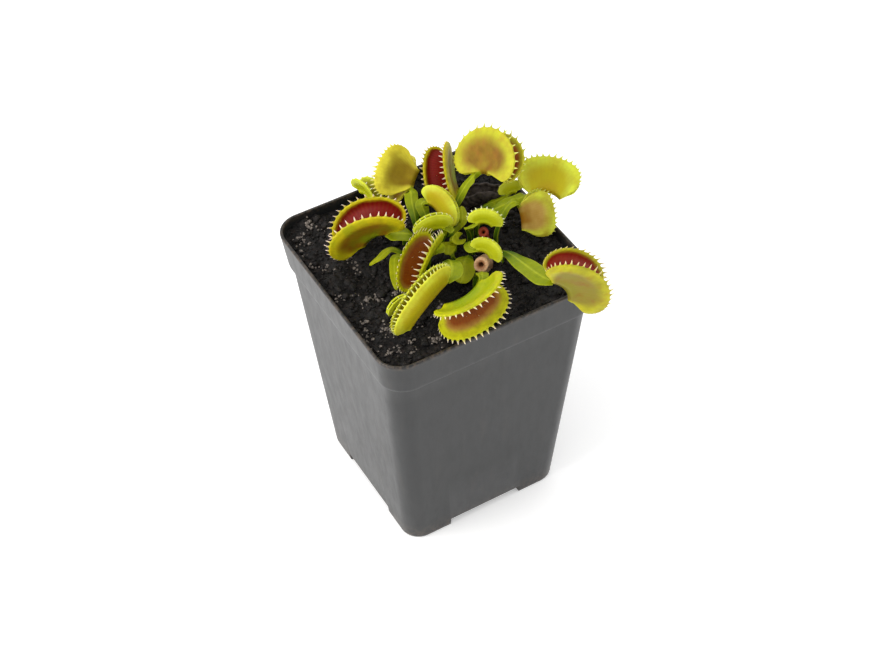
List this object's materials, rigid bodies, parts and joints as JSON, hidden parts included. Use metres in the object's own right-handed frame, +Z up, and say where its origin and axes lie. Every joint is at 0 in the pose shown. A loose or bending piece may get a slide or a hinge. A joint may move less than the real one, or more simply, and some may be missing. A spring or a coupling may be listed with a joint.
{
  "type": "potted venus flytrap",
  "caption": "Carnivorous house plant: a rosette of hinged, toothed trap leaves on winged stalks, rooted in dark peat in a deep square plastic nursery pot.",
  "frame": {"origin": "under the middle of the whole part's bounding box, level with the undersides of the pot's feet; the pot's own axis stands at X -7.3 mm, Y +5.4 mm", "axes": "+Z up, out of the pot; X and Y along the sides of the square pot; the big low trap overhangs the rim towards +X and -Y"},
  "size_m": [0.1046, 0.1042, 0.1516],
  "materials": {
    "pot": "satin",
    "soil": "matte",
    "leaf": "satin",
    "dead_leaf": "matte",
    "stalk": "matte"
  },
  "bodies": {
    "root": {"pot": "pot", "soil": "soil", "leaf_left_open": "leaf", "leaf_back_left": "leaf", "leaf_back_red": "leaf", "leaf_top": "leaf", "leaf_right_high": "leaf", "leaf_right_mid": "leaf", "leaf_right_low": "leaf", "leaf_front_long": "leaf", "leaf_front_open": "leaf", "leaf_middle_left": "leaf", "leaf_small_left": "leaf", "leaf_small_top": "leaf", "leaf_small_front": "leaf", "leaf_arched": "leaf", "leaf_far_left": "leaf", "leaf_back_small": "leaf", "leaf_low_front": "leaf", "leaf_dead": "dead_leaf", "blade_heart": "leaf", "blade_narrow": "leaf", "blade_behind": "leaf", "blade_inner": "leaf", "blade_bud": "leaf", "blade_rolled": "leaf", "blade_pointed": "leaf", "stalk_flower": "stalk", "stalk_old": "stalk"}
  },
  "joints": []
}
